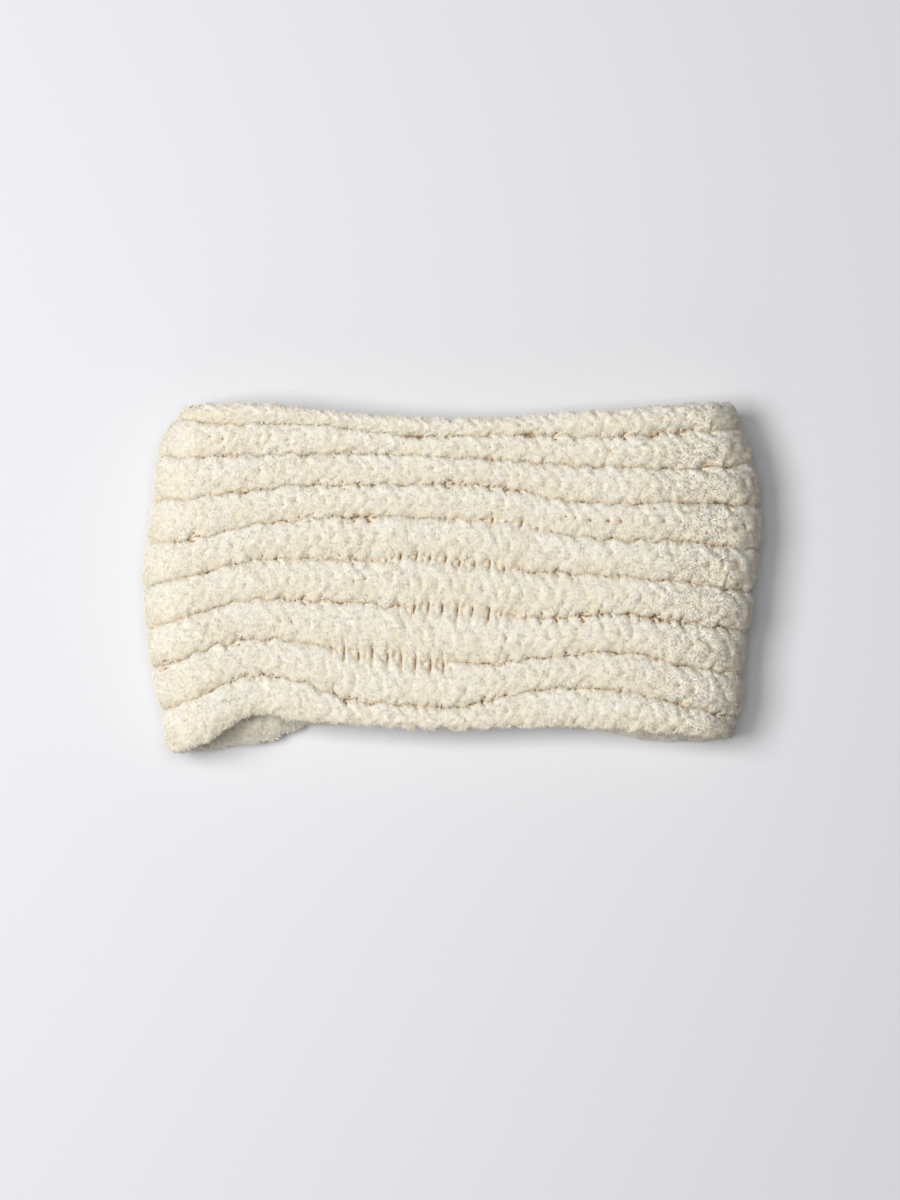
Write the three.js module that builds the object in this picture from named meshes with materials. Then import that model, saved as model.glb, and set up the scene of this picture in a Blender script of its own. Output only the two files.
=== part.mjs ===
// A chunky rib-knit ear warmer headband: one closed band of bulky chenille yarn, lying flat.
// Millimetres. +X runs from fold to fold, +Y across the ribs to the rear edge, +Z up.
// The back layer rests on the surface, the top layer lies over it, and the hollow for the
// head runs between the two layers from the front edge to the rear edge.
import * as THREE from 'three';

// Driving dimensions
const FLAT_WIDTH = 240; // from fold to fold
const RIB_PITCH = 14; // from groove to groove
const WALL_THICKNESS = 11; // from the outer rib crests to the inner rib crests
const GROOVE_DEPTH = 3.4; // of a groove below the rib crests, on each side of the wall
const HOLLOW_MIDDLE = 6; // free height between the layers in the middle
const HOLLOW_AT_FOLDS = 8.6; // free height between the layers beside a fold
const FRONT_LIFT = 2.4; // how far the top layer's front edge is lifted at the left corner
const REAR_INSET = 5; // how far the back layer's rear edge lies inside the top layer's
const CREST_PRESS = 0.5; // how far the resting ribs are pressed flat

// Fineness of the mesh
const LAYER_STEPS = 23; // sections along each layer
const FOLD_STEPS = 9; // sections round each fold

// Where the top layer's edges and grooves lie, seen from above. Each row is a station
// between the folds: at is its share of the flat width from the middle, and lines holds the
// rear edge, the eight grooves and the front edge as shares of the rib pitch.
const RIB_CHART = [
  { at: -0.5, lines: [4.73, 4.07, 3.19, 2.06, 0.82, -0.38, -1.54, -2.69, -3.9, -4.92] },
  { at: -0.405, lines: [4.81, 4.18, 3.27, 2.2, 1.1, 0.14, -0.96, -2.03, -3.24, -4.67] },
  { at: -0.325, lines: [4.86, 4.2, 3.38, 2.39, 1.4, 0.44, -0.63, -1.68, -2.69, -3.82] },
  { at: -0.245, lines: [4.75, 4.2, 3.35, 2.5, 1.57, 0.52, -0.63, -1.73, -2.83, -3.96] },
  { at: -0.165, lines: [4.59, 4.07, 3.38, 2.53, 1.68, 0.49, -0.66, -2.01, -3.32, -4.04] },
  { at: -0.069, lines: [4.48, 3.87, 3.35, 2.58, 1.65, 0.55, -0.8, -2.28, -3.49, -4.15] },
  { at: 0.011, lines: [4.45, 3.87, 3.27, 2.55, 1.57, 0.44, -0.91, -2.36, -3.52, -4.2] },
  { at: 0.091, lines: [4.48, 3.9, 3.19, 2.42, 1.51, 0.27, -1.04, -2.28, -3.21, -4.15] },
  { at: 0.171, lines: [4.62, 3.87, 3.08, 2.14, 1.21, 0.14, -1.1, -2.12, -3.02, -4.12] },
  { at: 0.268, lines: [4.67, 3.87, 3.02, 2.03, 1.02, 0.03, -0.99, -2.03, -3.1, -4.2] },
  { at: 0.38, lines: [4.84, 3.98, 2.97, 2.06, 0.96, -0.14, -1.24, -2.42, -3.54, -4.37] },
  { at: 0.5, lines: [4.78, 4.01, 3.08, 1.92, 0.74, -0.47, -1.59, -2.91, -3.96, -4.56] },
];

// How far each rib reaches at the two folds, from the rear rib to the front rib, as shares
// of the flat width from the middle.
const FOLD_REACH = [
  { left: 0.436, right: 0.463 },
  { left: 0.47, right: 0.482 },
  { left: 0.482, right: 0.498 },
  { left: 0.489, right: 0.502 },
  { left: 0.5, right: 0.494 },
  { left: 0.498, right: 0.489 },
  { left: 0.492, right: 0.476 },
  { left: 0.481, right: 0.474 },
  { left: 0.458, right: 0.458 },
];

// The back layer's front edge, which shows past the top layer at both front corners:
// at is a share of the flat width, front a share of the rib pitch.
const BACK_EDGE = [
  { at: -0.5, front: -4.92 },
  { at: -0.405, front: -4.86 },
  { at: -0.325, front: -4.51 },
  { at: -0.245, front: -4.01 },
  { at: -0.165, front: -3.96 },
  { at: 0.011, front: -3.96 },
  { at: 0.171, front: -4.01 },
  { at: 0.268, front: -4.31 },
  { at: 0.38, front: -4.62 },
  { at: 0.5, front: -4.59 },
];

// The lift of the front edge at the left corner: its middle and its reach along the band as
// shares of the flat width, and its reach across the band in ribs.
const LIFT = { at: -0.35, reach: 0.13, ribs: 3.2 };

// The share of the back layer beside each fold over which its ribs straighten
const BACK_EASE = 0.15;

const RIB_COUNT = FOLD_REACH.length;
const HALF_WALL = WALL_THICKNESS / 2;
const GROOVE_FLOOR = HALF_WALL - GROOVE_DEPTH; // height of a groove over the wall's middle
const FOLD_RADIUS = (WALL_THICKNESS + HOLLOW_AT_FOLDS) / 2; // of the wall's middle surface
const BACK_HEIGHT = HALF_WALL - CREST_PRESS; // of the back layer's middle surface

// The places across a rib where the wall is drawn, as shares of the rib pitch
const OUTER_PLACES = [0, 0.12, 0.36, 0.64, 0.88];
const INNER_PLACES = [0.22, -0.22, -0.5];
const EDGE_PLACE = 0.12;

// Steps round the band and across it over which the wall's slope is measured
const TURN_STEP = 0.01;
const ACROSS_STEP = 0.1;

const mix = THREE.MathUtils.lerp;
const clamp = THREE.MathUtils.clamp;
const ease = (share) => THREE.MathUtils.smoothstep(share, 0, 1);

// A smooth curve through a table's values, with the slope at each station taken from its
// neighbours.
function readCurve(stations, values, at) {
  const last = stations.length - 1;
  const place = clamp(at, stations[0], stations[last]);
  let i = 0;
  while (i < last - 1 && place > stations[i + 1]) i += 1;
  const slope = (k) => {
    const before = Math.max(k - 1, 0);
    const after = Math.min(k + 1, last);
    return (values[after] - values[before]) / (stations[after] - stations[before]);
  };
  const span = stations[i + 1] - stations[i];
  const u = (place - stations[i]) / span;
  const rise = values[i + 1] - values[i];
  const start = slope(i) * span;
  const end = slope(i + 1) * span;
  return values[i] + u * (start + u * (3 * rise - 2 * start - end + u * (start + end - 2 * rise)));
}

const chartStations = RIB_CHART.map((row) => row.at);
const chartColumns = RIB_CHART[0].lines.map((_, k) => RIB_CHART.map((row) => row.lines[k]));
const lineNumbers = chartColumns.map((_, k) => k);
const ribMiddles = FOLD_REACH.map((_, k) => k + 0.5);
const leftReach = FOLD_REACH.map((row) => row.left);
const rightReach = FOLD_REACH.map((row) => row.right);
const backStations = BACK_EDGE.map((row) => row.at);
const backFronts = BACK_EDGE.map((row) => row.front);

// Where the place across (0 at the rear edge, RIB_COUNT at the front edge) lies on the top
// layer, at the distance x from the middle.
function topAcross(x, across) {
  const values = chartColumns.map((column) => readCurve(chartStations, column, x / FLAT_WIDTH));
  return RIB_PITCH * readCurve(lineNumbers, values, across);
}

// The same for the back layer, whose ribs run plainly from edge to edge
function backAcross(x, across) {
  const rear = topAcross(x, 0) - REAR_INSET;
  const front = RIB_PITCH * readCurve(backStations, backFronts, x / FLAT_WIDTH);
  return mix(rear, front, across / RIB_COUNT);
}

// Height of the top layer's middle surface over the back layer's
function layerSpacing(share, x, across) {
  const toMiddle = Math.sin(Math.PI * share);
  const hollow = mix(HOLLOW_AT_FOLDS, HOLLOW_MIDDLE, ease(toMiddle));
  const along = clamp(1 - Math.abs(x / FLAT_WIDTH - LIFT.at) / LIFT.reach, 0, 1);
  const inward = clamp(1 - (RIB_COUNT - across) / LIFT.ribs, 0, 1);
  return WALL_THICKNESS + hollow + FRONT_LIFT * ease(along) * ease(inward);
}

// A point of the wall's middle surface. turn goes once round the band: 0 to 1 along the top
// layer from left to right, 1 to 2 round the right fold, 2 to 3 back along the back layer,
// 3 to 4 round the left fold.
function middlePoint(turn, across) {
  const left = FOLD_RADIUS + HALF_WALL - FLAT_WIDTH * readCurve(ribMiddles, leftReach, across);
  const right = FLAT_WIDTH * readCurve(ribMiddles, rightReach, across) - FOLD_RADIUS - HALF_WALL;
  const stretch = Math.floor(turn) % 4;
  const share = turn - Math.floor(turn);
  const angle = Math.PI * share;
  let x;
  let z;
  let back;
  if (stretch === 0) {
    x = mix(left, right, share);
    z = BACK_HEIGHT + layerSpacing(share, x, across);
    back = 0;
  } else if (stretch === 1) {
    x = right + FOLD_RADIUS * Math.sin(angle);
    z = BACK_HEIGHT + FOLD_RADIUS * (1 + Math.cos(angle));
    back = clamp(share - 0.5, 0, 0.5);
  } else if (stretch === 2) {
    x = mix(right, left, share);
    z = BACK_HEIGHT;
    back = 0.5 + 0.5 * clamp(Math.min(share, 1 - share) / BACK_EASE, 0, 1);
  } else {
    x = left - FOLD_RADIUS * Math.sin(angle);
    z = BACK_HEIGHT + FOLD_RADIUS * (1 - Math.cos(angle));
    back = clamp(0.5 - share, 0, 0.5);
  }
  const y = mix(topAcross(x, across), backAcross(x, across), ease(back));
  return new THREE.Vector3(x, y, z);
}

// The direction out of the wall, away from the hollow
function outward(turn, across) {
  const rearward = Math.max(across - ACROSS_STEP, 0);
  const forward = Math.min(across + ACROSS_STEP, RIB_COUNT);
  const along = middlePoint(turn + TURN_STEP, across).sub(middlePoint(turn + 4 - TURN_STEP, across));
  const over = middlePoint(turn, forward).sub(middlePoint(turn, rearward));
  return over.cross(along).normalize();
}

// A round arch, 1 in the middle and 0 at half a rib pitch from it
const arch = (distance) => Math.sqrt(Math.max(0, 1 - 4 * distance * distance));

// Whether a place lies on the outer half of an edge rib, and its distance from that crest
const onEdge = (across) => Math.min(across, RIB_COUNT - across) < 0.5;
const edgeDistance = (across) => 0.5 - Math.min(across, RIB_COUNT - across);

// Height of the outer ribs over the middle surface. The first and last rib round off to the
// band's edges.
function outerHeight(across) {
  if (onEdge(across)) return HALF_WALL * arch(edgeDistance(across));
  return mix(GROOVE_FLOOR, HALF_WALL, arch(across - Math.floor(across) - 0.5));
}

// The inner ribs lie behind the outer grooves
function innerHeight(across) {
  if (onEdge(across)) return GROOVE_FLOOR * arch(edgeDistance(across));
  return mix(GROOVE_FLOOR, HALF_WALL, arch(across - Math.round(across)));
}

// The wall's section, from the rear edge over the outer ribs to the front edge, and back
// over the inner ribs
function wallSection() {
  const section = [];
  for (let rib = 0; rib < RIB_COUNT; rib += 1) {
    for (const place of OUTER_PLACES) {
      section.push({ across: rib + place, height: outerHeight(rib + place) });
    }
  }
  section.push({ across: RIB_COUNT, height: 0 });
  section.push({ across: RIB_COUNT - EDGE_PLACE, height: -innerHeight(RIB_COUNT - EDGE_PLACE) });
  section.push({ across: RIB_COUNT - 0.5, height: -GROOVE_FLOOR });
  for (let groove = RIB_COUNT - 1; groove > 0; groove -= 1) {
    for (const place of INNER_PLACES) {
      section.push({ across: groove + place, height: -innerHeight(groove + place) });
    }
  }
  section.push({ across: EDGE_PLACE, height: -innerHeight(EDGE_PLACE) });
  return section;
}

// The sections' places round the band, closer together at the folds
function sectionTurns() {
  const turns = [];
  for (let stretch = 0; stretch < 4; stretch += 1) {
    const steps = stretch % 2 === 0 ? LAYER_STEPS : FOLD_STEPS;
    for (let step = 0; step < steps; step += 1) {
      turns.push(stretch + step / steps);
    }
  }
  return turns;
}

// The whole band as one closed skin: every section's points, joined to the next section's
function bandGeometry() {
  const section = wallSection();
  const turns = sectionTurns();
  const positions = [];
  for (const turn of turns) {
    for (const { across, height } of section) {
      const point = middlePoint(turn, across).addScaledVector(outward(turn, across), height);
      positions.push(point.x, point.y, Math.max(point.z, 0));
    }
  }
  const indices = [];
  const count = section.length;
  for (let k = 0; k < turns.length; k += 1) {
    const here = k * count;
    const next = ((k + 1) % turns.length) * count;
    for (let j = 0; j < count; j += 1) {
      const after = (j + 1) % count;
      indices.push(here + j, here + after, next + after);
      indices.push(here + j, next + after, next + j);
    }
  }
  const geometry = new THREE.BufferGeometry();
  geometry.setAttribute('position', new THREE.Float32BufferAttribute(positions, 3));
  geometry.setIndex(indices);
  return centred(geometry);
}

// The origin lies on the surface, under the middle of the band's outline
function centred(geometry) {
  geometry.computeBoundingBox();
  const middle = geometry.boundingBox.getCenter(new THREE.Vector3());
  geometry.translate(-middle.x, -middle.y, -geometry.boundingBox.min.z);
  geometry.computeVertexNormals();
  return geometry;
}

const chenille = new THREE.MeshStandardMaterial({ color: 0xe6dfd3, roughness: 0.95, metalness: 0 });

const knitBand = new THREE.Mesh(bandGeometry(), chenille);
knitBand.name = 'knit_band';

const group = new THREE.Group();
group.add(knitBand);

export default group;
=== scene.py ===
"""The looks of a chunky rib-knit ear warmer headband, lying flat and seen from straight above.

The band is knitted in cream chenille yarn as a rib: nine fat ribs outside, eight between them
inside, and thin grooves in which the yarn crosses from face to face. Each stitch shows as two
plump legs that meet in an arrowhead, and the whole yarn carries a short soft pile. In four
stretches a groove is pulled flat, and the crossing yarn shows between slits. Everything is in
metres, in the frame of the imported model, with +Z up and +Y towards the rear edge.
"""

import logging
import math
from dataclasses import dataclass, field
from enum import Enum

import bmesh
import bpy
import numpy as np
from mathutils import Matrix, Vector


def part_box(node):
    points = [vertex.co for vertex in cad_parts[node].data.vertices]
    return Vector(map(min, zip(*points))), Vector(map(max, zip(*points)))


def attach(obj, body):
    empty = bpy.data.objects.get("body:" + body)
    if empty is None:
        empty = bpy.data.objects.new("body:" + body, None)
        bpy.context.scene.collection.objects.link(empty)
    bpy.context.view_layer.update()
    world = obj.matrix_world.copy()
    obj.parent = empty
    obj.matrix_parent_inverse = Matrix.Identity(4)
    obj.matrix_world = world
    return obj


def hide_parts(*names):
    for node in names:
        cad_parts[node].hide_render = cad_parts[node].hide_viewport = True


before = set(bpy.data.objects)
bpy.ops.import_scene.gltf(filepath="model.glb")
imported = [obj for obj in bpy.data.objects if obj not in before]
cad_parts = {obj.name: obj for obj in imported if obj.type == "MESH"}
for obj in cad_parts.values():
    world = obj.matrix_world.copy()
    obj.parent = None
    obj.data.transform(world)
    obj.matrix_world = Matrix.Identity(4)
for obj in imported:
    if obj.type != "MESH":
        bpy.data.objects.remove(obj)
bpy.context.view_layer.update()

Array = np.ndarray
Chance = np.random.Generator
Socket = bpy.types.NodeSocket
Triple = tuple[float, float, float]

log = logging.getLogger("headband")

# Where the skin's lines run over one rib, as shares of the rib: close together by the grooves.
RIB_LINES = (0, 0.02, 0.05, 0.1, 0.18, 0.28, 0.39, 0.5, 0.61, 0.72, 0.82, 0.9, 0.95, 0.98)
BODY = "root"
NODE = "knit_band"
SEED = 20
ROWS_IN_A_RIB = 2.4
MM = 0.001
WELD = 0.01 * MM


class Face(Enum):
    """The two faces of the knitted wall."""

    OUTER = 1
    INNER = -1


@dataclass(frozen=True)
class ChartRow:
    """One station of the rib chart.

    at is the station's share of the flat width from the middle. lines holds the rear edge,
    the eight grooves and the front edge as shares of the rib pitch.
    """

    at: float
    lines: tuple[float, ...]


@dataclass(frozen=True)
class FoldRow:
    """How far one rib reaches at the two folds, as shares of the flat width."""

    left: float
    right: float


@dataclass(frozen=True)
class EdgeRow:
    """One station of the back layer's front edge, as shares of flat width and rib pitch."""

    at: float
    front: float


@dataclass(frozen=True)
class Stretch:
    """A stretch of groove that lies open or is pulled flat.

    groove counts from the rear edge, and at and reach are shares of the flat width. share is
    how far a rib draws back, or half the length of a slit, as a share of the rib pitch.
    """

    groove: int
    at: float
    reach: float
    share: float


RIB_CHART = (
    ChartRow(-0.5, (4.73, 4.07, 3.19, 2.06, 0.82, -0.38, -1.54, -2.69, -3.9, -4.92)),
    ChartRow(-0.405, (4.81, 4.18, 3.27, 2.2, 1.1, 0.14, -0.96, -2.03, -3.24, -4.67)),
    ChartRow(-0.325, (4.86, 4.2, 3.38, 2.39, 1.4, 0.44, -0.63, -1.68, -2.69, -3.82)),
    ChartRow(-0.245, (4.75, 4.2, 3.35, 2.5, 1.57, 0.52, -0.63, -1.73, -2.83, -3.96)),
    ChartRow(-0.165, (4.59, 4.07, 3.38, 2.53, 1.68, 0.49, -0.66, -2.01, -3.32, -4.04)),
    ChartRow(-0.069, (4.48, 3.87, 3.35, 2.58, 1.65, 0.55, -0.8, -2.28, -3.49, -4.15)),
    ChartRow(0.011, (4.45, 3.87, 3.27, 2.55, 1.57, 0.44, -0.91, -2.36, -3.52, -4.2)),
    ChartRow(0.091, (4.48, 3.9, 3.19, 2.42, 1.51, 0.27, -1.04, -2.28, -3.21, -4.15)),
    ChartRow(0.171, (4.62, 3.87, 3.08, 2.14, 1.21, 0.14, -1.1, -2.12, -3.02, -4.12)),
    ChartRow(0.268, (4.67, 3.87, 3.02, 2.03, 1.02, 0.03, -0.99, -2.03, -3.1, -4.2)),
    ChartRow(0.38, (4.84, 3.98, 2.97, 2.06, 0.96, -0.14, -1.24, -2.42, -3.54, -4.37)),
    ChartRow(0.5, (4.78, 4.01, 3.08, 1.92, 0.74, -0.47, -1.59, -2.91, -3.96, -4.56)),
)

FOLD_REACH = (
    FoldRow(0.436, 0.463),
    FoldRow(0.47, 0.482),
    FoldRow(0.482, 0.498),
    FoldRow(0.489, 0.502),
    FoldRow(0.5, 0.494),
    FoldRow(0.498, 0.489),
    FoldRow(0.492, 0.476),
    FoldRow(0.481, 0.474),
    FoldRow(0.466, 0.458),
)

BACK_EDGE = (
    EdgeRow(-0.5, -4.92),
    EdgeRow(-0.405, -4.92),
    EdgeRow(-0.325, -4.64),
    EdgeRow(-0.245, -4.12),
    EdgeRow(-0.165, -3.96),
    EdgeRow(0.011, -3.96),
    EdgeRow(0.171, -4.01),
    EdgeRow(0.268, -4.31),
    EdgeRow(0.38, -4.62),
    EdgeRow(0.5, -4.59),
)

# Where the ribs draw back from a groove.
OPEN_GROOVES = (
    Stretch(1, -0.06, 0.018, 0.16),
    Stretch(1, 0.122, 0.014, 0.16),
)

# Where a groove is pulled flat, so that the crossing yarn shows between slits.
BRIDGED_GROOVES = (
    Stretch(4, 0.103, 0.06, 0.1),
    Stretch(5, -0.01, 0.14, 0.11),
    Stretch(6, 0.003, 0.1, 0.17),
    Stretch(7, -0.099, 0.12, 0.2),
)


def ease(share: Array) -> Array:
    """Returns a share from 0 to 1 with soft ends."""
    held = np.clip(share, 0, 1)
    return held * held * (3 - 2 * held)


def mix(start: Array, end: Array, share: Array) -> Array:
    """Returns the value between start and end at a share."""
    return start + (end - start) * share


def arch(distance: Array) -> Array:
    """Returns a round arch: 1 in the middle, 0 at half a rib pitch from it."""
    return np.sqrt(np.maximum(0, 1 - 4 * distance * distance))


def cubic(first: Array, last: Array, start: Array, end: Array, u: Array) -> Array:
    """Returns a smooth step from first to last at a share u, from the slopes at its ends."""
    rise = last - first
    return first + u * (start + u * (3 * rise - 2 * start - end + u * (start + end - 2 * rise)))


def read_curve(stations: Array, values: Array, at: Array) -> Array:
    """Reads smooth curves through a table.

    Args:
        stations: the table's stations, rising.
        values: the values at the stations, one column for each curve.
        at: the places to read, held inside the table.

    Returns:
        One row for each place, with one column for each curve.
    """
    place = np.clip(at, stations[0], stations[-1])
    i = np.clip(np.searchsorted(stations, place, side="left") - 1, 0, len(stations) - 2)
    slopes = np.empty_like(values)
    slopes[1:-1] = (values[2:] - values[:-2]) / (stations[2:] - stations[:-2])[:, None]
    slopes[0] = (values[1] - values[0]) / (stations[1] - stations[0])
    slopes[-1] = (values[-1] - values[-2]) / (stations[-1] - stations[-2])
    span = (stations[i + 1] - stations[i])[:, None]
    u = (place - stations[i])[:, None] / span
    return cubic(values[i], values[i + 1], slopes[i] * span, slopes[i + 1] * span, u)


def read_rows(rows: Array, at: Array) -> Array:
    """Reads each row of evenly spaced values at its own place.

    Args:
        rows: one row of values for each place.
        at: the places, counted in steps of the row from its first value.

    Returns:
        One value for each row.
    """
    last = rows.shape[1] - 1
    place = np.clip(at, 0, last)
    i = np.clip(np.ceil(place).astype(int) - 1, 0, last - 1)
    n = np.arange(len(rows))
    before = np.maximum(i - 1, 0)
    after = np.minimum(i + 2, last)
    start = (rows[n, i + 1] - rows[n, before]) / (i + 1 - before)
    end = (rows[n, after] - rows[n, i]) / (after - i)
    return cubic(rows[n, i], rows[n, i + 1], start, end, place - i)


def unit(vectors: Array) -> Array:
    """Returns the vectors at length 1."""
    length = np.linalg.norm(vectors, axis=-1, keepdims=True)
    return vectors / np.maximum(length, 1e-12)


@dataclass
class BandForm:
    """The form of the folded band: where its wall's middle surface runs and how thick it is.

    The four names that end in _pile say how far the pile stands out past the skin at each side
    of the outline. The names that start with corner_ mark the front left corner, where the top
    layer sinks by front_drop and the back layer rises by back_rise.
    """

    flat_width: float = 240 * MM
    rib_pitch: float = 14 * MM
    wall: float = 11 * MM
    groove_depth: float = 3.4 * MM
    edge_plump: float = 2.0 * MM
    edge_fullness: float = 0.55
    hollow_middle: float = 6 * MM
    hollow_at_folds: float = 8.6 * MM
    front_drop: float = 1.5 * MM
    back_rise: float = 2.2 * MM
    rear_inset: float = 5 * MM
    rear_pile: float = 1.5 * MM
    front_pile: float = 1.0 * MM
    left_pile: float = 0.9 * MM
    right_pile: float = 1.7 * MM
    crest_press: float = 0.5 * MM
    corner_at: float = -0.312
    corner_reach: float = 0.08
    corner_ribs: float = 3.2
    back_ease: float = 0.15
    fullness: float = 0.32
    row_pitch: float = 5.66 * MM
    probe_turn: float = 0.01
    probe_across: float = 0.1
    open_sharpness: float = 1.6
    bridge_sharpness: float = 3
    plain_slit: float = 0.1
    least_slit: float = 0.02
    ribs: int = len(FOLD_REACH)

    def __post_init__(self) -> None:
        """Reads the tables, finds the rows of stitches and puts the band where its node is."""
        self.stations = np.array([row.at for row in RIB_CHART])
        self.lines = np.array([row.lines for row in RIB_CHART])
        self.rib_middles = np.arange(self.ribs) + 0.5
        self.folds = np.array([(row.left, row.right) for row in FOLD_REACH])
        self.lines[:, 0] -= self.rear_pile / self.rib_pitch
        self.lines[:, -1] += self.front_pile / self.rib_pitch
        self.folds -= np.array([self.left_pile, self.right_pile]) / self.flat_width
        self.back_stations = np.array([row.at for row in BACK_EDGE])
        self.back_fronts = np.array([[row.front] for row in BACK_EDGE])
        self.half_wall = self.wall / 2
        self.groove_floor = self.half_wall - self.groove_depth
        self.fold_radius = (self.wall + self.hollow_at_folds) / 2
        self.back_height = self.half_wall - self.crest_press
        self.shift = np.zeros(3)
        self.shift = self.seat()
        self.rows, self.row_turns = self.space_rows()

    def seat(self) -> Array:
        """Returns the move that puts the band's outline over its node's box."""
        turns, across = np.meshgrid(np.linspace(0, 4, 400), np.linspace(0, self.ribs, 180))
        turns = turns.ravel()
        across = across.ravel()
        skin = self.points(turns, across, self.outer_top(across, np.zeros_like(across)))
        low, high = (np.array(corner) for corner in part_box(NODE))
        move = (low + high) / 2 - (skin.min(0) + skin.max(0)) / 2
        move[2] = 0
        return move

    def space_rows(self) -> tuple[int, Array]:
        """Spaces the rows of stitches evenly round the band.

        Returns:
            The number of rows, and the turn of each row.
        """
        turns = np.linspace(0, 4, 2001)
        middle = self.middle(turns, np.full_like(turns, self.ribs / 2))
        steps = np.linalg.norm(np.diff(middle, axis=0), axis=1)
        length = np.concatenate([[0], np.cumsum(steps)])
        rows = int(round(length[-1] / self.row_pitch))
        return rows, np.interp(np.arange(rows + 1) * length[-1] / rows, length, turns)

    def turn_of(self, row: Array) -> Array:
        """Returns the turn at a place counted in rows of stitches."""
        whole = np.mod(row, self.rows)
        return np.interp(whole, np.arange(self.rows + 1), self.row_turns)

    def top_across(self, x: Array, across: Array) -> Array:
        """Returns how far across the top layer a place lies, at a distance x from the middle."""
        rows = read_curve(self.stations, self.lines, x / self.flat_width)
        return self.rib_pitch * read_rows(rows, across)

    def back_across(self, x: Array, across: Array) -> Array:
        """Returns how far across the back layer a place lies; its ribs run plainly."""
        rear = self.top_across(x, np.zeros_like(x)) - self.rear_inset
        front = self.rib_pitch * read_curve(self.back_stations, self.back_fronts, x / self.flat_width)
        return mix(rear, front[:, 0], across / self.ribs)

    def layer_spacing(self, share: Array, x: Array, across: Array) -> Array:
        """Returns the height of the top layer's middle surface over the back layer's."""
        hollow = mix(self.hollow_at_folds, self.hollow_middle, ease(np.sin(math.pi * share)))
        return self.wall + hollow - self.front_drop * self.front_corner(x, across)

    def front_corner(self, x: Array, across: Array) -> Array:
        """Returns how near a place lies to the front left corner, where the layers draw together."""
        from_corner = np.abs(x / self.flat_width - self.corner_at)
        inward = ease(1 - (self.ribs - across) / self.corner_ribs)
        return ease(1 - from_corner / self.corner_reach) * inward

    def middle(self, turn: Array, across: Array) -> Array:
        """Finds points of the wall's middle surface.

        Args:
            turn: once round the band: 0 to 1 along the top layer from left to right, 1 to 2
                round the right fold, 2 to 3 along the back layer, 3 to 4 round the left fold.
            across: 0 at the rear edge, and the number of ribs at the front edge.

        Returns:
            One point for each place.
        """
        reach = read_curve(self.rib_middles, self.folds, across) * self.flat_width
        inset = self.fold_radius + self.half_wall
        left = inset - reach[:, 0]
        right = reach[:, 1] - inset
        turn = np.mod(turn, 4)
        stretch = np.floor(turn).astype(int)
        share = turn - stretch
        angle = math.pi * share
        sine = np.sin(angle)
        cosine = np.cos(angle)
        top = stretch == 0
        right_fold = stretch == 1
        back = stretch == 2
        x = np.select(
            [top, right_fold, back],
            [mix(left, right, share), right + self.fold_radius * sine, mix(right, left, share)],
            left - self.fold_radius * sine,
        )
        rise = self.back_rise * self.front_corner(x, across)
        z = self.back_height + np.select(
            [top, right_fold, back],
            [self.layer_spacing(share, x, across), self.fold_radius * (1 + cosine), rise],
            self.fold_radius * (1 - cosine),
        )
        ends = np.clip(np.minimum(share, 1 - share) / self.back_ease, 0, 1)
        below = np.select(
            [top, right_fold, back],
            [np.zeros_like(x), np.clip(share - 0.5, 0, 0.5), 0.5 + 0.5 * ends],
            np.clip(0.5 - share, 0, 0.5),
        )
        y = mix(self.top_across(x, across), self.back_across(x, across), ease(below))
        return np.stack([x, y, z], axis=1) + self.shift

    def outward(self, turn: Array, across: Array) -> Array:
        """Returns the direction out of the wall, away from the hollow."""
        rearward = np.maximum(across - self.probe_across, 0)
        forward = np.minimum(across + self.probe_across, self.ribs)
        after = self.middle(turn + self.probe_turn, across)
        along = after - self.middle(turn + 4 - self.probe_turn, across)
        over = self.middle(turn, forward) - self.middle(turn, rearward)
        return unit(np.cross(over, along))

    def points(self, turn: Array, across: Array, height: Array) -> Array:
        """Returns points at a height over the middle surface, never below the floor."""
        spots = self.middle(turn, across) + self.outward(turn, across) * height[:, None]
        spots[:, 2] = np.maximum(spots[:, 2], 0)
        return spots

    def edge_distance(self, across: Array) -> Array:
        """Returns how far a place lies past the crest of the nearest edge rib."""
        return 0.5 - np.minimum(across, self.ribs - across)

    def outer_top(self, across: Array, opened: Array) -> Array:
        """Returns the height of the outer ribs, which draw back from their grooves by opened."""
        past = self.edge_distance(across)
        inside = mix(self.groove_floor, self.half_wall, self.rib_share(across, opened))
        return np.where(past > 0, self.half_wall * arch(past) ** self.edge_fullness, inside)

    def rib_share(self, across: Array, opened: Array) -> Array:
        """Returns how high a place of an outer rib stands: 1 on the crest, 0 in the groove."""
        return arch((across - np.floor(across) - 0.5) / (1 - 2 * opened)) ** self.fullness

    def inner_top(self, across: Array) -> Array:
        """Returns the height of the inner ribs, which lie behind the outer grooves."""
        past = self.edge_distance(across)
        full = arch(across - np.round(across)) ** self.fullness
        inside = mix(self.groove_floor, self.half_wall, full)
        plump = self.edge_plump * np.sin(math.pi * np.clip(0.5 - past, 0, 1))
        return np.where(past > 0, self.groove_floor * arch(past), inside) + plump

    def nearness(self, row: Stretch, turn: Array, across: Array) -> Array:
        """Returns how near a place's nearest groove lies to a stretch: 1 in its middle, 0 off it."""
        groove = np.rint(across)
        x = self.middle(turn, groove)[:, 0] - self.shift[0]
        near = np.clip(1 - np.abs(x / self.flat_width - row.at) / row.reach, 0, 1)
        return np.where((np.mod(turn, 4) < 1) & (groove == row.groove), near, 0)

    def opening(self, turn: Array, across: Array) -> Array:
        """Returns how far a place's rib draws back from its nearest groove, in rib pitches."""
        gap = np.zeros_like(across)
        for row in OPEN_GROOVES:
            gap += row.share * ease(self.nearness(row, turn, across) * self.open_sharpness)
        return gap

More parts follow.
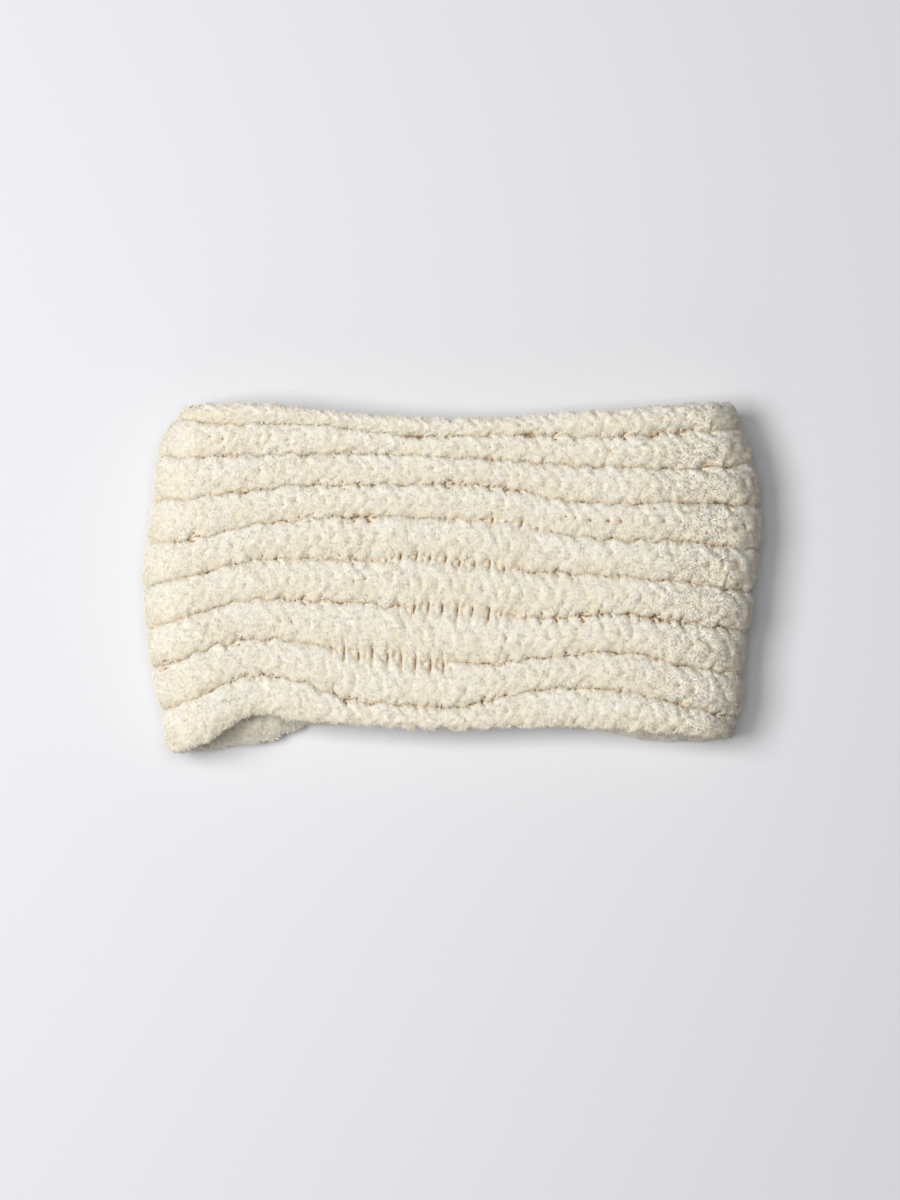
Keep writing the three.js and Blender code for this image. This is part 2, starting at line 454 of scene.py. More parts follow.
    def bridge(self, turn: Array, across: Array) -> tuple[Array, Array]:
        """Finds where the crossing yarn is pulled flat over the nearest groove.

        Returns:
            How flat the groove is pulled, from 0 to 1, and half the length of its slits.
        """
        flat = np.zeros_like(across)
        half_slit = np.full_like(across, self.plain_slit)
        for row in BRIDGED_GROOVES:
            share = ease(self.nearness(row, turn, across) * self.bridge_sharpness)
            half_slit = np.where(share > 0, row.share * share, half_slit)
            flat += share
        return flat, np.maximum(half_slit, self.least_slit)


def lean_of(across: Array) -> Array:
    """Returns how far a place lies from its rib's crest, towards the front edge, in rib pitches."""
    return across - np.floor(across) - 0.5


def joined(
    name: str,
    spots: Array,
    faces: list[tuple[int, ...]],
    values: dict[str, Array],
    normals: Array,
    finish: bpy.types.Material,
) -> bpy.types.Object:
    """Joins many copies of a small shape into one piece.

    Args:
        name: the piece's name.
        spots: the copies' points, one row for each copy.
        faces: the small shape's faces.
        values: named values, one for each copy.
        normals: the directions by which the copies are shaded.
        finish: the material.

    Returns:
        The piece, riding on the band's body and standing for its node.
    """
    copies, count = spots.shape[:2]
    corners = np.array([corner for face in faces for corner in face])
    sizes = np.array([len(face) for face in faces])
    loops = (corners[None, :] + count * np.arange(copies)[:, None]).ravel()
    starts = np.concatenate([[0], np.cumsum(np.tile(sizes, copies))[:-1]])
    mesh = bpy.data.meshes.new(name)
    mesh.vertices.add(copies * count)
    mesh.vertices.foreach_set("co", spots.astype(np.float32).ravel())
    mesh.loops.add(len(loops))
    mesh.loops.foreach_set("vertex_index", loops.astype(np.int32))
    mesh.polygons.add(copies * len(faces))
    mesh.polygons.foreach_set("loop_start", starts.astype(np.int32))
    mesh.update(calc_edges=True)
    for label, column in values.items():
        layer = mesh.attributes.new(label, "FLOAT", "POINT")
        layer.data.foreach_set("value", np.repeat(column.astype(np.float32), count))
    mesh.normals_split_custom_set_from_vertices(np.repeat(normals, count, axis=0).tolist())
    return dressed(name, mesh, finish)


def add_object(name: str, data: bpy.types.ID) -> bpy.types.Object:
    """Makes an object and links it to the scene."""
    made = bpy.data.objects.new(name, data)
    bpy.context.scene.collection.objects.link(made)
    return made


def dressed(name: str, mesh: bpy.types.Mesh, finish: bpy.types.Material) -> bpy.types.Object:
    """Makes a mesh a piece of the band.

    Args:
        name: the piece's name.
        mesh: the finished mesh.
        finish: the material.

    Returns:
        The piece, with smooth faces, riding on the band's body and standing for its node.
    """
    mesh.shade_smooth()
    mesh.materials.append(finish)
    piece = add_object(name, mesh)
    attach(piece, BODY)
    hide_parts(NODE)
    triangles = sum(len(face.vertices) - 2 for face in mesh.polygons)
    log.info("%s: %d triangles", name, triangles)
    return piece


class Wander:
    """Slow, smooth unevenness over the band, the same again after once round."""

    def __init__(self, rows: int, length: float, draw: Chance, waves: int = 40) -> None:
        """Draws the waves.

        Args:
            rows: the rows of stitches round the band.
            length: the length of a usual wave, in rows.
            draw: the source of chance.
            waves: how many waves are summed.
        """
        most = rows / length
        self.rounds = np.rint(draw.uniform(-most, most, waves))
        self.over = draw.uniform(-1, 1, waves) * 2 * math.pi * ROWS_IN_A_RIB / length
        self.phase = draw.uniform(0, 2 * math.pi, waves)
        self.rows = rows

    def at(self, row: Array, across: Array) -> Array:
        """Returns the unevenness at each place, with a spread of 1."""
        total = np.zeros_like(row)
        for rounds, over, phase in zip(self.rounds, self.over, self.phase):
            total += np.cos(2 * math.pi * rounds * row / self.rows + over * across + phase)
        return total * math.sqrt(2 / len(self.phase))


@dataclass
class StitchRelief:
    """The low relief of the stitches: on every rib two plump legs a row that meet in arrowheads.

    lead and lag say where a leg starts on the crest and ends by the groove, in rows. The seams
    between legs are shallowest in a leg's middle, and each is as deep as chance has it.
    """

    form: BandForm
    draw: Chance
    lead: float = 0.62
    lag: float = 0.55
    curl: float = 1.2
    seam_depth: float = 2.0 * MM
    seam_sharpness: float = 3.2
    seam_middle: float = 0.45
    seam_least: float = 0.3
    sway: float = 0.12
    waist: float = 0.5 * MM
    plump: float = 0.3 * MM
    lumps: float = 0.08 * MM
    dent_depth: float = 2.2 * MM
    dent_reach: float = 0.12
    dent_row_reach: float = 0.15
    dents_by_grooves: float = 0.6
    groove_dent: float = 0.76
    groove_dent_spread: float = 0.2
    crest_dent_spread: float = 0.25
    dent_size_span: float = 2.4
    dents_missing: float = 1.1

    def __post_init__(self) -> None:
        """Draws the unevenness of the hand that knitted."""
        self.wander = Wander(self.form.rows, 2.0, self.draw)
        self.swell = Wander(self.form.rows, 1.3, self.draw)
        columns = 2 * self.form.ribs + 2
        self.seam_chance = self.draw.random((self.form.rows, columns))
        self.dent_chance = self.draw.random((self.form.rows, columns))
        self.leg_height = self.draw.standard_normal((self.form.rows, columns))

    def phase(self, row: Array, across: Array, reach: Array) -> Array:
        """Returns the place counted in legs: whole on a leg's middle, half in a seam."""
        sway = self.sway * self.wander.at(row, across)
        return row + sway - self.lead + (self.lead + self.lag) * reach**self.curl

    def column(self, wale: Array, hand: Array) -> Array:
        """Returns the column of the tables of chance for one half of a rib."""
        return np.clip(np.rint(wale * 2 + hand * 0.5).astype(int), 0, self.seam_chance.shape[1] - 1)

    def sunk(self, row: Array, across: Array, face: Face) -> tuple[Array, Array]:
        """Finds how far the surface lies under the plain rib.

        Args:
            row: the places round the band, in rows.
            across: the places across the ribs.
            face: the face of the wall.

        Returns:
            One depth for each place, and how far it is a pinhole, from 0 to 1.
        """
        wale = np.floor(across) + 0.5 if face is Face.OUTER else np.round(across)
        offset = across - wale
        reach = np.clip(2 * np.abs(offset), 0, 1)
        phase = self.phase(row, across, reach)
        leg = np.floor(phase)
        column = self.column(wale, np.sign(offset))
        here = np.mod(leg.astype(int), self.form.rows)
        after = np.mod(here + 1, self.form.rows)
        along = np.abs(2 * reach - 1)
        seam = np.abs(2 * (phase - leg) - 1) ** self.seam_sharpness
        chance = mix(self.seam_chance[here, column], self.seam_chance[after, column], phase > leg + 0.5)
        depth = self.seam_depth * seam * mix(self.seam_middle, 1, along**1.5)
        depth = depth * mix(self.seam_least, 1, chance)
        height = self.leg_height[here, column] * (1 - seam) * (1 - along**2)
        depth = depth - self.plump * height + self.waist * along**3
        depth = depth + self.lumps * self.swell.at(row, across)
        pinhole = self.pinholes(phase - leg - 0.5, self.dent_chance[here, column], reach)
        return depth + self.dent_depth * pinhole, pinhole

    def pinholes(self, from_middle: Array, chance: Array, reach: Array) -> Array:
        """Returns the small pinholes where legs meet, by a groove or on a crest; their dark is painted
        shade.
        """
        by_groove = self.groove_dent + self.groove_dent_spread * chance
        on_crest = self.crest_dent_spread * (chance - self.dents_by_grooves)
        spot = np.where(chance < self.dents_by_grooves, by_groove, on_crest)
        size = np.clip(np.mod(7 * chance, 1) * self.dent_size_span - self.dents_missing, 0, 1)
        from_seam = 0.5 - np.abs(from_middle)
        near = ((reach - spot) / self.dent_reach) ** 2 + (from_seam / self.dent_row_reach) ** 2
        return size * np.exp(-near)

    def leg_ends(self, row: Array, across: Array) -> Array:
        """Returns where the gaps between the ends of the legs lie along a groove: 1 in a gap."""
        phase = self.phase(row, across, np.ones_like(row))
        leg = np.floor(phase)
        wale = np.floor(across) + 0.5
        here = np.mod(leg.astype(int), self.form.rows)
        chance = self.seam_chance[here, self.column(wale, np.sign(across - wale))]
        gap = (0.5 - 0.5 * np.cos(2 * math.pi * (phase - leg))) ** 3
        return gap * np.mod(3 * chance, 1)


@dataclass
class Roots:
    """Where tufts of pile stand: their feet, directions and the values that colour them."""

    foot: Array
    rise: Array
    flow: Array
    tuck_shade: Array
    lean: Array


@dataclass
class KnitSkin:
    """The knitted surface of both faces, one closed skin with the ribs and stitches in relief.

    The names that end in _share say how thickly the pile stands in a place, and the three with
    calm make the relief lower towards the left. The skin keeps how deep each place lies in a
    groove, seam, slit, gap between bars or pinhole, which the finish turns into painted shade;
    the names that end in _tuck, but for deep_tuck, weigh what each place adds.
    """

    form: BandForm
    relief: StitchRelief
    seen_steps: float = 9.6
    hidden_steps: float = 3.2
    inner_steps: int = 30
    hidden_turns: tuple[float, float] = (1.8, 3.2)
    tint: float = 0.5
    inner_tuck: float = 0.08
    seam_tuck: float = 1.05
    slit_tuck: float = 0.6
    gap_tuck: float = 1.25
    pinhole_tuck: float = 1.15
    slit_depth: float = 1.3 * MM
    slit_width: float = 0.026
    scallop: float = 0.06
    wiggle: float = 0.03
    bridge_drop: float = 0.8 * MM
    gap_depth: float = 2.8 * MM
    gap_width: float = 0.105
    bar_slant: float = 0.35
    bar_stray: float = 0.05
    slit_least: float = 0.3
    slit_stray: float = 0.6
    slit_ends: float = 0.6
    slit_most: float = 1.6
    rim_calm: float = 0.12
    rim_zone: float = 0.5
    rim_lumps: float = 0.35 * MM
    rim_scallop: float = 1.5
    wander_offset: int = 7
    wiggle_offset: int = 31
    calm: float = 0.62
    calm_start: float = -110 * MM
    calm_end: float = 10 * MM
    floor_zone: float = 4 * MM
    floor_share: float = 0.3
    deep_tuck: float = 0.7
    deep_share: float = 0.1
    rim_reach: float = 1.2
    hidden_share: float = 0.05
    corner_height: float = 14 * MM
    corner_side: float = -45 * MM
    corner_share: float = 4.0
    backward: float = 0.8

    def chart(self) -> None:
        """Works out the skin on a grid: rows of stitches one way, round the section the other."""
        form = self.form
        relief = self.relief
        over = np.concatenate([rib + np.array(RIB_LINES) for rib in range(form.ribs)])
        back = np.linspace(form.ribs, 0, self.inner_steps + 1)
        self.outer_steps = len(over)
        row = self.row_stations()
        self.steps_round = len(row) - 1
        self.rows, self.across = np.meshgrid(row, np.concatenate([over, back]), indexing="ij")
        on_outer = np.arange(self.across.shape[1]) <= self.outer_steps
        outer = np.broadcast_to(on_outer, self.rows.shape).ravel()
        rows = self.rows.ravel()
        across = self.across.ravel()
        turn = form.turn_of(rows)
        ends = relief.leg_ends(rows, across)
        opened = form.opening(turn, across) + self.scallop * ends
        sunk_out, pinhole = relief.sunk(rows, across, Face.OUTER)
        sunk_in = relief.sunk(rows, across, Face.INNER)[0]
        from_rim = np.minimum(across, form.ribs - across)
        rim = ease(from_rim / self.rim_calm)
        x = form.middle(turn, across)[:, 0]
        calm = mix(self.calm, 1, ease((x - self.calm_start) / (self.calm_end - self.calm_start)))
        sunk = np.where(outer, sunk_out, sunk_in) * rim * calm
        flat, half_slit = form.bridge(turn, across)
        from_groove = np.abs(across - np.rint(across))
        bridge = mix(form.groove_floor, form.half_wall - self.bridge_drop, flat)
        past = form.edge_distance(across) > 0
        top_out = form.outer_top(across, opened)
        top_out = np.where(past, top_out, np.maximum(top_out, bridge))
        gap = self.between_bars(rows, across) * flat * np.exp(-((from_groove / half_slit) ** 4))
        top_in = form.inner_top(across)
        slit = np.where(past, 0, self.slits(rows, across, ends) * (1 - flat))
        outside = np.maximum(top_out - sunk, 0) - slit - self.gap_depth * gap
        held = np.where(outer, outside, -np.maximum(top_in - sunk, 0))
        swell = relief.swell.at(rows + self.wiggle_offset, across)
        strayed = across + self.wiggle * swell * rim
        spots = form.points(turn, strayed, held)
        near_rim = 1 - ease(from_rim / self.rim_zone)
        push = relief.swell.at(rows, across) + self.rim_scallop * (0.5 - ends)
        spots[:, 1] += self.rim_lumps * near_rim * push * np.where(across < form.ribs / 2, 1, -1)
        self.spots = spots.reshape(*self.rows.shape, 3)
        # How deep each place lies in a groove, seam, slit, gap between bars or pinhole: the finish paints
        # deeper places warmer and darker, as painted shade.
        groove = np.where(past, 0, (form.half_wall - top_out) / form.groove_depth)
        tuck_shade = np.where(outer, groove, self.inner_tuck)
        tuck_shade = tuck_shade + (self.seam_tuck * sunk + self.slit_tuck * slit * outer) / form.groove_depth
        holes = self.gap_tuck * gap + self.pinhole_tuck * pinhole * rim * (1 - flat)
        tuck_shade = tuck_shade + np.where(outer, holes, 0)
        self.tuck_shade = tuck_shade.reshape(self.rows.shape)

    def slits(self, row: Array, across: Array, ends: Array) -> Array:
        """Returns the depth of the thin slit along each groove, deepest between the legs' ends."""
        depth = self.slit_depth * np.exp(-(((across - np.rint(across)) / self.slit_width) ** 2))
        stray = self.slit_stray * self.relief.wander.at(row + self.wander_offset, across)
        return depth * np.clip(self.slit_least + stray + self.slit_ends * ends, 0, self.slit_most)

    def between_bars(self, row: Array, across: Array) -> Array:
        """Returns where the slits between the bars of crossing yarn lie: 1 in a slit."""
        slant = row + self.bar_slant * (across - np.rint(across))
        slant = slant + self.bar_stray * self.relief.wander.at(row, across)
        from_slit = np.abs(slant - np.rint(slant))
        return np.exp(-((from_slit / self.gap_width) ** 2))

    def row_stations(self) -> Array:
        """Returns the places round the band, close on the top layer and folds, wide behind."""
        rows = np.linspace(0, self.form.rows, 40 * self.form.rows + 1)
        turn = self.form.turn_of(np.minimum(rows, self.form.rows - 1e-6))
        behind = (turn > self.hidden_turns[0]) & (turn < self.hidden_turns[1])
        steps = np.where(behind, self.hidden_steps, self.seen_steps)
        count = np.concatenate([[0], np.cumsum(0.5 * (steps[1:] + steps[:-1]) * np.diff(rows))])
        total = int(round(count[-1]))
        return np.interp(np.linspace(0, count[-1], total + 1), count, rows)

    def build(self, finish: bpy.types.Material) -> bpy.types.Object:
        """Wraps a grid round the band, closes it both ways and returns the finished piece."""
        self.chart()
        steps = self.across.shape[1] - 1
        grid = bmesh.new()
        bmesh.ops.create_grid(grid, x_segments=self.steps_round, y_segments=steps, size=0.5)
        tint = np.full_like(self.tuck_shade, self.tint)
        values = {"tuck_shade": self.tuck_shade, "lean": lean_of(self.across), "tint": tint}
        for label in values:
            grid.verts.layers.float.new(label)
        layers = {grid.verts.layers.float[label]: column for label, column in values.items()}
        for vertex in grid.verts:
            i = round((vertex.co.x + 0.5) * self.steps_round)
            j = round((vertex.co.y + 0.5) * steps)
            vertex.co = self.spots[i, j]
            for layer, column in layers.items():
                vertex[layer] = column[i, j]
        bmesh.ops.remove_doubles(grid, verts=grid.verts, dist=WELD)
        bmesh.ops.recalc_face_normals(grid, faces=grid.faces)
        mesh = bpy.data.meshes.new("knit_skin")
        grid.to_mesh(mesh)
        grid.free()
        return dressed("knit_skin", mesh, finish)

    def roots(self, count: int, face: Face, draw: Chance) -> Roots:
        """Scatters the feet of tufts over one face, thinly where they can't be seen.

        Args:
            count: how many tufts stand.
            face: the face of the wall.
            draw: the source of chance.

        Returns:
            The tufts' feet.
        """
        one_way = self.spots[1:, :-1] - self.spots[:-1, :-1]
        other_way = self.spots[:-1, 1:] - self.spots[:-1, :-1]
        area = np.linalg.norm(np.cross(one_way, other_way), axis=-1)
        from_edge = np.minimum(self.across, self.form.ribs - self.across)[:-1, :-1]
        outer = np.arange(area.shape[1])[None, :] < self.outer_steps
        side, front, height = np.moveaxis(self.spots[:-1, :-1], -1, 0)
        if face is Face.OUTER:
            weight = np.where(height < self.floor_zone, self.floor_share, 1) * outer
            weight = weight * np.where(self.tuck_shade[:-1, :-1] > self.deep_tuck, self.deep_share, 1)
        else:
            corner = (np.maximum(side, front) < self.corner_side) & (height < self.corner_height)
            weight = np.where(from_edge > self.rim_reach, self.hidden_share, 1)
            weight = weight * np.where(corner, self.corner_share, 1) * ~outer
        chance = (area * weight).ravel()
        cell = draw.choice(chance.size, size=count, p=chance / chance.sum())
        i, j = np.unravel_index(cell, area.shape)
        u = draw.random(count)
        v = draw.random(count)

        def between(values: Array) -> Array:
            """Returns the values at the tufts' places inside their cells."""
            a = u[:, None] if values.ndim == 3 else u
            b = v[:, None] if values.ndim == 3 else v
            near = mix(values[i, j], values[i + 1, j], a)
            return mix(near, mix(values[i, j + 1], values[i + 1, j + 1], a), b)

        along = unit(np.gradient(self.spots, axis=0))
        over = unit(np.gradient(self.spots, axis=1))
        along[0] = along[-1] = unit(self.spots[1] - self.spots[-2])
        over[:, 0] = over[:, -1] = unit(self.spots[:, 1] - self.spots[:, -2])
        rise = unit(np.cross(between(over), between(along)))
        lean = lean_of(between(self.across))
        hand = np.sign(lean)[:, None] * face.value
        flow = unit(between(over) * hand - between(along) * self.backward)
        return Roots(between(self.spots), rise, flow, between(self.tuck_shade), lean)


class Swirl:
    """A smooth field of directions in space, so that neighbouring tufts lie alike."""

    def __init__(self, least: float, most: float, draw: Chance, waves: int = 24) -> None:
        """Draws the waves.

        Args:
            least: the shortest wave.
            most: the longest wave.
            draw: the source of chance.
            waves: how many waves are summed for each of the three parts.
        """
        way = unit(draw.standard_normal((3, waves, 3)))
        self.way = way * (2 * math.pi / draw.uniform(least, most, (3, waves, 1)))
        self.phase = draw.uniform(0, 2 * math.pi, (3, waves))

    def at(self, spots: Array) -> Array:
        """Returns a vector for each spot, each of its parts with a spread of 1."""
        parts = [
            np.cos(spots @ way.T + phase).sum(axis=1) for way, phase in zip(self.way, self.phase)
        ]
        return np.stack(parts, axis=1) * math.sqrt(2 / self.phase.shape[1])


@dataclass
class Pile:
    """The short soft pile of the chenille, as small pointed tufts that stand on the yarn.

    A tuft is shaded by a direction of its own. glint leans it by chance and sheen in patches,
    softness upwards, rim_softness upwards where the wall stands steep, and nap to the right at
    the right end, where the pile lies brushed and nap_calm takes most of the glint away.
    """

    draw: Chance
    length: float = 1.35 * MM
    length_spread: tuple[float, float] = (0.6, 1.25)
    width: float = 0.3 * MM
    width_spread: tuple[float, float] = (0.7, 1.3)
    flatness: float = 0.2
    sink: float = 0.1 * MM
    lift: float = 0.38
    lift_spread: float = 0.24
    most_lift: float = 1.4
    roll: float = 0.25
    swirl_waves: tuple[float, float] = (2.5 * MM, 6 * MM)
    shine_waves: tuple[float, float] = (1.8 * MM, 3.6 * MM)
    combed: float = 0.7
    swirled: float = 0.7
    upward: float = 0.35
    softness: float = 0.45
    rim_softness: float = 0.55
    nap: float = 1.0
    nap_start: float = 52 * MM
    nap_end: float = 100 * MM
    nap_calm: float = 0.65
    glint: float = 0.25
    sheen: float = 0.2

    def __post_init__(self) -> None:
        """Draws the way in which the pile lies."""
        self.swirl = Swirl(*self.swirl_waves, self.draw)
        self.shine = Swirl(*self.shine_waves, self.draw)

    def template(self) -> tuple[Array, list[tuple[int, ...]]]:
        """Makes one tuft as a three-sided point, one unit long and one wide, base at 0."""
        cone = bmesh.new()
        bmesh.ops.create_cone(cone, cap_ends=True, segments=3, radius1=1, radius2=0, depth=1)
        bmesh.ops.translate(cone, verts=cone.verts, vec=(0, 0, 0.5))
        bmesh.ops.remove_doubles(cone, verts=cone.verts, dist=1e-4)
        bmesh.ops.recalc_face_normals(cone, faces=cone.faces)
        cone.verts.index_update()
        spots = np.array([vertex.co for vertex in cone.verts])
        faces = [tuple(vertex.index for vertex in face.verts) for face in cone.faces]
        cone.free()
        return spots, faces

    def grow(self, name: str, roots: Roots, draw: Chance, finish: bpy.types.Material) -> bpy.types.Object:
        """Grows tufts from their feet.

        Args:
            name: the piece's name.
            roots: the tufts' feet.
            draw: the source of chance for their directions and sizes.
            finish: the material.

        Returns:
            The finished piece.
        """
        count = len(roots.foot)
        rise = unit(roots.rise + self.upward * np.array([0, 0, 1]))
        spin = draw.standard_normal((count, 3)) + self.swirled * self.swirl.at(roots.foot)
        flat = unit(np.cross(rise, spin)) + self.combed * roots.flow
        lift = np.clip(draw.normal(self.lift, self.lift_spread, count), 0, self.most_lift)[:, None]
        stand = unit(unit(flat) + rise * np.tan(lift))
        across = unit(np.cross(rise, stand))
        third = np.cross(stand, across)
        spots, faces = self.template()
        long = self.length * draw.uniform(*self.length_spread, count)[:, None, None]
        wide = self.width * draw.uniform(*self.width_spread, count)[:, None, None]
        placed = (
            (roots.foot - rise * self.sink)[:, None]
            + across[:, None] * spots[None, :, 0:1] * wide
            + third[:, None] * spots[None, :, 1:2] * wide * self.flatness
            + stand[:, None] * spots[None, :, 2:3] * long
        )
        placed[:, :, 2] = np.maximum(placed[:, :, 2], 0)
        values = {"tuck_shade": roots.tuck_shade, "lean": roots.lean, "tint": draw.random(count)}
        brushed = ease((roots.foot[:, 0] - self.nap_start) / (self.nap_end - self.nap_start))
        glint = self.glint * (1 - self.nap_calm * brushed[:, None])
        scatter = glint * draw.standard_normal((count, 3)) + self.sheen * self.shine.at(roots.foot)
        scatter[:, 2] += self.softness + self.rim_softness * (1 - np.abs(roots.rise[:, 2]))
        scatter[:, 0] += self.nap * brushed
        return joined(name, placed, faces, values, unit(rise + self.roll * third + scatter), finish)


class NodeTree:
    """The nodes of one material, with a short way to add each kind that the yarn needs."""

    def __init__(self, name: str) -> None:
        """Makes the named material, with its shader and a source of places on the object."""
        self.material = bpy.data.materials.new(name)
        self.material.use_nodes = True
        self.nodes = self.material.node_tree.nodes
        self.links = self.material.node_tree.links
        self.shader = self.nodes["Principled BSDF"]
        self.place = self.nodes.new("ShaderNodeTexCoord").outputs["Object"]

    def noise(self, scale: float, detail: float) -> Socket:
        """Adds a noise that lies still on the object."""
        made = self.nodes.new("ShaderNodeTexNoise")
        made.inputs["Scale"].default_value = scale
        made.inputs["Detail"].default_value = detail
        self.links.new(self.place, made.inputs["Vector"])
        return made.outputs["Fac"]

    def attribute(self, label: str) -> Socket:
        """Adds a reader of one of the mesh's own values."""
        made = self.nodes.new("ShaderNodeAttribute")
        made.attribute_name = label
        return made.outputs["Fac"]

    def scaled_sum(self, value: Socket, scale: float, rest: Socket) -> Socket:
        """Adds a sum of a scaled value and another."""
        made = self.nodes.new("ShaderNodeMath")
        made.operation = "MULTIPLY_ADD"
        made.inputs[1].default_value = scale
        self.links.new(value, made.inputs[0])
        self.links.new(rest, made.inputs[2])
        return made.outputs[0]

    def reach(self, value: Socket, low: float, high: float, most: float, soft: bool = True) -> Socket:
        """Adds a reading of a value that runs from 0 at low to most at high.

        Args:
            value: the value to read.
            low: where the reading starts.
            high: where it ends.
            most: the reading at high.
            soft: whether the reading has soft ends.

        Returns:
            The reading.
        """
        made = self.nodes.new("ShaderNodeMapRange")
        made.interpolation_type = "SMOOTHSTEP" if soft else "LINEAR"
        made.inputs["From Min"].default_value = low
        made.inputs["From Max"].default_value = high
        made.inputs["To Max"].default_value = most
        self.links.new(value, made.inputs["Value"])
        return made.outputs["Result"]

    def colour_mix(self, under: Socket | Triple, over: Triple, share: Socket) -> Socket:
        """Adds a mix of two colours, the first of which may come from other nodes."""
        made = self.nodes.new("ShaderNodeMix")
        made.data_type = "RGBA"
        if isinstance(under, tuple):
            made.inputs["A"].default_value = (*under, 1)
        else:
            self.links.new(under, made.inputs["A"])
        made.inputs["B"].default_value = (*over, 1)
        self.links.new(share, made.inputs["Factor"])
        return made.outputs["Result"]


@dataclass(frozen=True)
class ChenilleFinish:
    """Cream chenille, pale and cool on the crests, with painted shade: warm and darker where the
    yarn tucks into grooves, seams, slits and pinholes, warmer on each rib's front side, and in
    fine specks between the fibres. Tufts picked at random are painted paler, as glints.

    The noises' three scales run from coarse to fine: patches of tone, specks of painted shade
    and grain.
    """

    name: str
    # Paler colour of tufts picked at random, standing in for glints: painted highlight.
    painted_glint: Triple = (0.98, 0.965, 0.90)
    crest: Triple = (0.88, 0.843, 0.74)
    warm: Triple = (0.83, 0.745, 0.57)
    # Specks of painted shade between the fibres.
    speck_shade: Triple = (0.72, 0.60, 0.45)
    # Painted shade on the groove flanks, then dark painted shade in grooves, slits, gaps and pinholes.
    side: Triple = (0.85, 0.74, 0.565)
    deep: Triple = (0.39, 0.28, 0.18)
    # How much warmer each rib's front side is painted: painted shade.
    front_side_shade: float = 0.6
    tint_warmth: float = 0.5
    patches: float = 130
    # Scale of the specks of painted shade between the fibres.
    speck_scale: float = 560
    grain: float = 1500
    roughness: float = 0.95
    specular: float = 0.25
    sheen: float = 0.1
    sheen_roughness: float = 0.5
    bump: float = 0.5
    bump_height: float = 0.5 * MM

    def material(self) -> bpy.types.Material:
        """Returns the finish as nodes."""
        tree = NodeTree(self.name)
        tree.shader.inputs["Roughness"].default_value = self.roughness
        tree.shader.inputs["Specular IOR Level"].default_value = self.specular
        tree.shader.inputs["Sheen Weight"].default_value = self.sheen
        tree.shader.inputs["Sheen Roughness"].default_value = self.sheen_roughness
        tree.links.new(self.colour(tree), tree.shader.inputs["Base Color"])
        relief = tree.nodes.new("ShaderNodeBump")
        relief.inputs["Strength"].default_value = self.bump
        relief.inputs["Distance"].default_value = self.bump_height
        tree.links.new(tree.noise(self.grain, 4), relief.inputs["Height"])
        tree.links.new(relief.outputs["Normal"], tree.shader.inputs["Normal"])
        return tree.material

    def colour(self, tree: NodeTree) -> Socket:
        """Returns the colour of the yarn, laid on in layers."""
        tuck_shade = tree.attribute("tuck_shade")
        tint = tree.attribute("tint")
        # Each rib's front side is painted warmer, as painted shade; tint and patches add the yarn's own
        # random tone.
        lower = tree.scaled_sum(tree.attribute("lean"), self.front_side_shade, tree.noise(self.patches, 3))
        warmth = tree.reach(tree.scaled_sum(tint, self.tint_warmth, lower), 0.45, 1.1, 1, soft=False)
        coat = tree.colour_mix(self.crest, self.warm, warmth)
        layers = (
            # painted highlight: paler tufts picked at random, as glints
            (self.painted_glint, tint, 0.7, 0.95, 1.0),
            # painted shade in fine specks between the fibres
            (self.speck_shade, tree.noise(self.speck_scale, 4), 0.5, 0.67, 0.62),
            # painted shade: warm on the groove flanks, dark in grooves, slits, gaps and pinholes
            (self.side, tuck_shade, 0.1, 0.9, 1.0),
            (self.deep, tuck_shade, 0.88, 1.3, 1.0),
        )
        for shade, source, low, high, most in layers:
            coat = tree.colour_mix(coat, shade, tree.reach(source, low, high, most))
        return coat


@dataclass
class Headband:
    """The whole band: its knitted skin and its pile, in pieces of a modest size."""

    form: BandForm = field(default_factory=BandForm)
    outer_pieces: int = 4
    outer_tufts: int = 44000
    inner_tufts: int = 28000

    def build(self) -> None:
        """Builds and dresses every piece; the order of the draws sets how it looks."""
        draw = np.random.default_rng(SEED)
        yarn_finish = ChenilleFinish("chenille_yarn_body").material()
        pile_finish = ChenilleFinish("chenille_pile", bump=0.3).material()
        skin = KnitSkin(self.form, StitchRelief(self.form, draw))
        skin.build(yarn_finish)
        pile = Pile(draw)
        for number in range(self.outer_pieces):
            roots = skin.roots(self.outer_tufts, Face.OUTER, draw)
            pile.grow(f"outer_pile_{number + 1}", roots, draw, pile_finish)
        pile.grow("inner_pile", skin.roots(self.inner_tufts, Face.INNER, draw), draw, pile_finish)


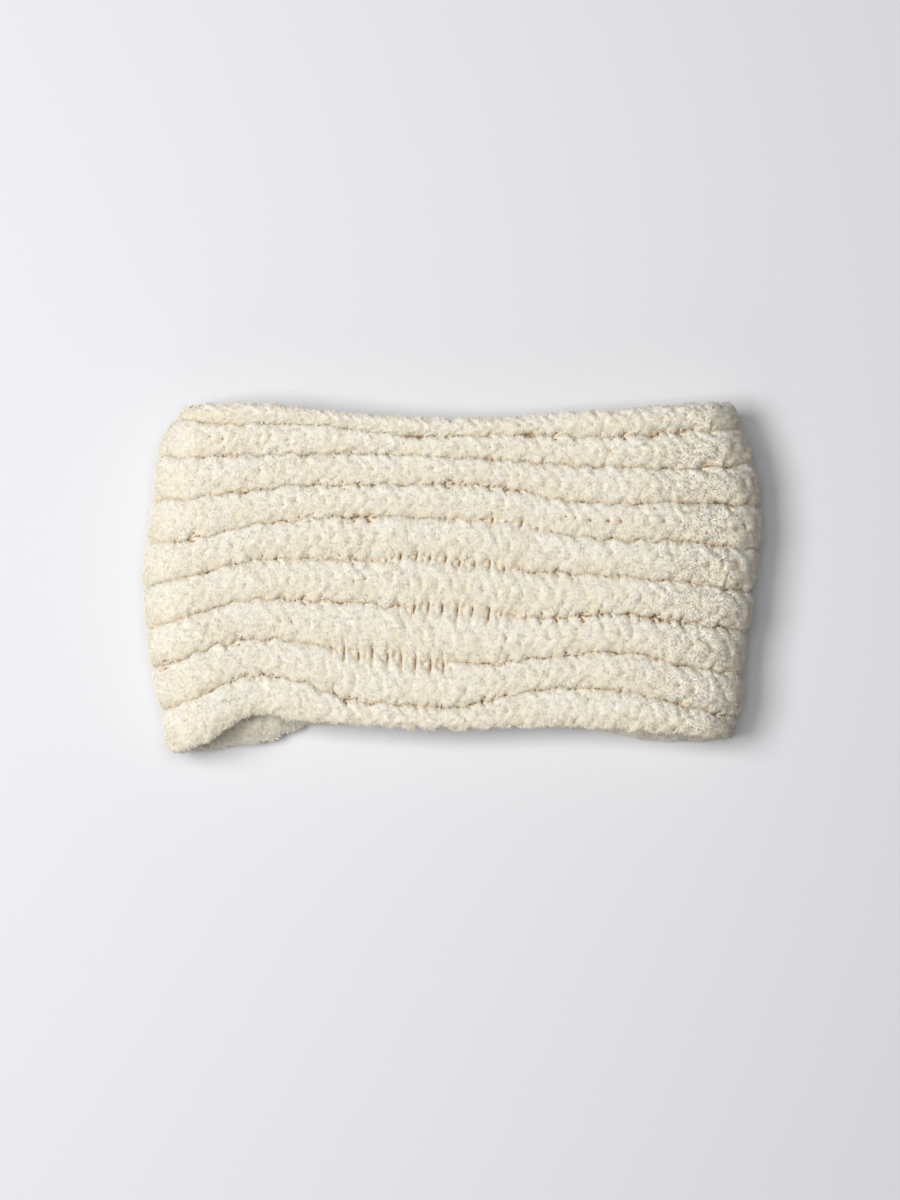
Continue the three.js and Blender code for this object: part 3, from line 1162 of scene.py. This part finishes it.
@dataclass
class Studio:
    """A pale seamless floor, soft light from the upper left, and the camera straight above."""

    form: BandForm
    photo_width: int = 900
    photo_height: int = 1200
    photo_middle: tuple[float, float] = (453, 578)
    pixel: float = 240 * MM / 624
    floor_size: float = 3.0
    floor_colour: Triple = (0.772, 0.772, 0.792)
    floor_roughness: float = 0.9
    air_colour: Triple = (0.93, 0.95, 1)
    air_strength: float = 0.06
    camera_height: float = 1.5
    seen_height: float = 15 * MM
    sensor: float = 36.0

    def build(self) -> None:
        """Builds the floor, the lights and the camera."""
        self.floor()
        self.light("key_light", (-0.7, 0.09, 1.25), 0.65, 16.7)
        self.light("fill_light", (0.02, 0.16, 1.5), 0.6, 6.2)
        self.light("front_light", (-0.3, -1.0, 0.55), 0.6, 1.1)
        world = bpy.data.worlds.new("studio_air")
        world.use_nodes = True
        air = world.node_tree.nodes["Background"]
        air.inputs["Color"].default_value = (*self.air_colour, 1)
        air.inputs["Strength"].default_value = self.air_strength
        bpy.context.scene.world = world
        bpy.context.scene.view_settings.view_transform = "Standard"
        self.camera()

    def floor(self) -> None:
        """Lays the pale floor."""
        sheet = bmesh.new()
        bmesh.ops.create_grid(sheet, x_segments=1, y_segments=1, size=self.floor_size / 2)
        mesh = bpy.data.meshes.new("floor")
        sheet.to_mesh(mesh)
        sheet.free()
        plain = bpy.data.materials.new("pale_floor")
        plain.use_nodes = True
        shader = plain.node_tree.nodes["Principled BSDF"]
        shader.inputs["Base Color"].default_value = (*self.floor_colour, 1)
        shader.inputs["Roughness"].default_value = self.floor_roughness
        mesh.materials.append(plain)
        add_object("floor", mesh)

    def light(self, name: str, place: Triple, size: float, power: float) -> None:
        """Hangs one soft square light that faces the band."""
        lamp = bpy.data.lights.new(name, "AREA")
        lamp.size = size
        lamp.energy = power
        holder = add_object(name, lamp)
        holder.location = place
        holder.rotation_euler = (-holder.location).to_track_quat("-Z", "Y").to_euler()

    def camera(self) -> None:
        """Hangs the camera straight above, with the photo's framing."""
        eye = bpy.data.cameras.new("camera")
        eye.sensor_fit = "VERTICAL"
        eye.sensor_height = self.sensor
        seen = self.photo_height * self.pixel
        eye.lens = self.sensor * (self.camera_height - self.seen_height) / seen
        holder = add_object("camera", eye)
        x = (self.photo_width / 2 - self.photo_middle[0]) * self.pixel + self.form.shift[0]
        y = (self.photo_middle[1] - self.photo_height / 2) * self.pixel + self.form.shift[1]
        holder.location = (x, y, self.camera_height)
        bpy.context.scene.camera = holder


def corners(box: tuple) -> list[list[float]]:
    """Returns a box's two corners as plain lists."""
    return [[float(value) for value in corner] for corner in box]


def main() -> None:
    """Builds the band and its studio."""
    logging.basicConfig(level=logging.INFO)
    band = Headband()
    band.build()
    Studio(band.form).build()


if __name__ == "__main__":
    main()
